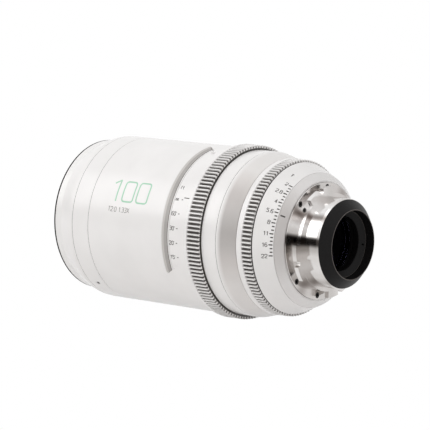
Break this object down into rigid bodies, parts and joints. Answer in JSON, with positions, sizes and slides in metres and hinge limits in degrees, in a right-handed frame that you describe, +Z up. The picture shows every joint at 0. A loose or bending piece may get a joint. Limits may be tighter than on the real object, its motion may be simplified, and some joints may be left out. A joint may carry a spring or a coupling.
{
  "type": "cinema prime lens",
  "caption": "White cinema prime lens with a stainless camera mount, geared iris and focus rings, a focus scale window and a working iris",
  "frame": {"origin": "centre of the seating face of the camera mount (the rear face of its four ears), on the optical axis", "axes": "+Y runs along the optical axis toward the front of the lens, +Z is up as the lens lies in the picture, +X is to its right seen from the camera mount"},
  "size_m": [0.1066, 0.1984, 0.1066],
  "materials": {
    "white_paint": "satin off-white paint on aluminium",
    "mount_steel": "fine turned stainless steel",
    "shim_steel": "rolled steel foil",
    "black_anodised": "matte black anodised",
    "cam_brass": "fine machined",
    "black_screw": "black oxide steel",
    "pin_steel": "ground steel",
    "lens_glass": "polished and coated",
    "blade_black": "matte black coated steel leaf"
  },
  "bodies": {
    "lens_body": {"index_ring": "white_paint", "cone_shroud": "white_paint", "mid_barrel": "white_paint", "outer_barrel": "white_paint", "second_ring": "white_paint", "front_ring": "white_paint", "mount_flange": "mount_steel", "mount_shim": "shim_steel", "rear_hood": "black_anodised", "baffle_ring": "black_anodised", "rear_cell": "black_anodised", "rear_spacer": "black_anodised", "rear_retaining_ring": "black_anodised", "iris_housing": "black_anodised", "iris_base_plate": "black_anodised", "middle_cell": "black_anodised", "middle_spacer": "black_anodised", "middle_retaining_ring": "black_anodised", "main_tube": "black_anodised", "front_flange": "black_anodised", "trim_ring": "black_anodised", "front_cell": "black_anodised", "cylinder_retaining_ring": "black_anodised", "front_spacer": "black_anodised", "front_retaining_ring": "black_anodised", "mount_screws": "black_screw", "housing_screws": "black_screw", "barrel_screws": "black_screw", "cell_screws": "black_screw", "set_screws": "black_screw", "stop_screws": "black_screw", "rear_element": "lens_glass", "rear_inner_element": "lens_glass", "middle_rear_element": "lens_glass", "middle_front_element": "lens_glass", "cylinder_rear_element": "lens_glass", "cylinder_front_element": "lens_glass", "front_element": "lens_glass"},
    "iris_ring_body": {"iris_ring": "white_paint", "iris_drive_pin": "pin_steel", "iris_cam_ring": "cam_brass"},
    "focus_ring_body": {"focus_ring": "white_paint", "focus_drum": "white_paint", "focus_drive_ring": "black_anodised", "focus_cam_sleeve": "cam_brass", "sleeve_screws": "black_screw"},
    "focus_group_body": {"focus_carrier": "black_anodised", "follower_pins": "pin_steel", "focus_rear_element": "lens_glass", "focus_spacer": "black_anodised", "focus_front_element": "lens_glass", "focus_retaining_ring": "black_anodised"},
    "iris_blade_1_body": {"iris_blade_1": "blade_black"},
    "iris_blade_2_body": {"iris_blade_2": "blade_black"},
    "iris_blade_3_body": {"iris_blade_3": "blade_black"},
    "iris_blade_4_body": {"iris_blade_4": "blade_black"},
    "iris_blade_5_body": {"iris_blade_5": "blade_black"},
    "iris_blade_6_body": {"iris_blade_6": "blade_black"},
    "iris_blade_7_body": {"iris_blade_7": "blade_black"},
    "iris_blade_8_body": {"iris_blade_8": "blade_black"}
  },
  "joints": [
    {"name": "iris_ring_turn", "type": "hinge", "parent": "lens_body", "child": "iris_ring_body", "pos_m": [0, 0.0225, 0], "axis": [0, 1, 0], "range_deg": [-29.3, 34.7]},
    {"name": "focus_ring_turn", "type": "hinge", "parent": "lens_body", "child": "focus_ring_body", "pos_m": [0, 0.064, 0], "axis": [0, 1, 0], "range_deg": [0, 203.3]},
    {"name": "focus_group_slide", "type": "slide", "parent": "lens_body", "child": "focus_group_body", "axis": [0, 1, 0], "range_m": [0, 0.014]},
    {"name": "iris_blade_1_turn", "type": "hinge", "parent": "lens_body", "child": "iris_blade_1_body", "pos_m": [-0.02329, 0.02452, 0.01264], "axis": [0, 1, 0], "range_deg": [-15.47, 18.32]},
    {"name": "iris_blade_2_turn", "type": "hinge", "parent": "lens_body", "child": "iris_blade_2_body", "pos_m": [-0.02541, 0.02424, -0.00753], "axis": [0, 1, 0], "range_deg": [-15.47, 18.32]},
    {"name": "iris_blade_3_turn", "type": "hinge", "parent": "lens_body", "child": "iris_blade_3_body", "pos_m": [-0.01264, 0.02396, -0.02329], "axis": [0, 1, 0], "range_deg": [-15.47, 18.32]},
    {"name": "iris_blade_4_turn", "type": "hinge", "parent": "lens_body", "child": "iris_blade_4_body", "pos_m": [0.00753, 0.02368, -0.02541], "axis": [0, 1, 0], "range_deg": [-15.47, 18.32]},
    {"name": "iris_blade_5_turn", "type": "hinge", "parent": "lens_body", "child": "iris_blade_5_body", "pos_m": [0.02329, 0.0234, -0.01264], "axis": [0, 1, 0], "range_deg": [-15.47, 18.32]},
    {"name": "iris_blade_6_turn", "type": "hinge", "parent": "lens_body", "child": "iris_blade_6_body", "pos_m": [0.02541, 0.02312, 0.00753], "axis": [0, 1, 0], "range_deg": [-15.47, 18.32]},
    {"name": "iris_blade_7_turn", "type": "hinge", "parent": "lens_body", "child": "iris_blade_7_body", "pos_m": [0.01264, 0.02284, 0.02329], "axis": [0, 1, 0], "range_deg": [-15.47, 18.32]},
    {"name": "iris_blade_8_turn", "type": "hinge", "parent": "lens_body", "child": "iris_blade_8_body", "pos_m": [-0.00753, 0.02256, 0.02541], "axis": [0, 1, 0], "range_deg": [-15.47, 18.32]}
  ],
  "couplings": [
    {"joint": "focus_group_slide", "follows": "focus_ring_turn", "m_per_rad": 0.0039456},
    {"joint": "iris_blade_1_turn", "follows": "iris_ring_turn", "ratio": 0.52787},
    {"joint": "iris_blade_2_turn", "follows": "iris_ring_turn", "ratio": 0.52787},
    {"joint": "iris_blade_3_turn", "follows": "iris_ring_turn", "ratio": 0.52787},
    {"joint": "iris_blade_4_turn", "follows": "iris_ring_turn", "ratio": 0.52787},
    {"joint": "iris_blade_5_turn", "follows": "iris_ring_turn", "ratio": 0.52787},
    {"joint": "iris_blade_6_turn", "follows": "iris_ring_turn", "ratio": 0.52787},
    {"joint": "iris_blade_7_turn", "follows": "iris_ring_turn", "ratio": 0.52787},
    {"joint": "iris_blade_8_turn", "follows": "iris_ring_turn", "ratio": 0.52787}
  ]
}
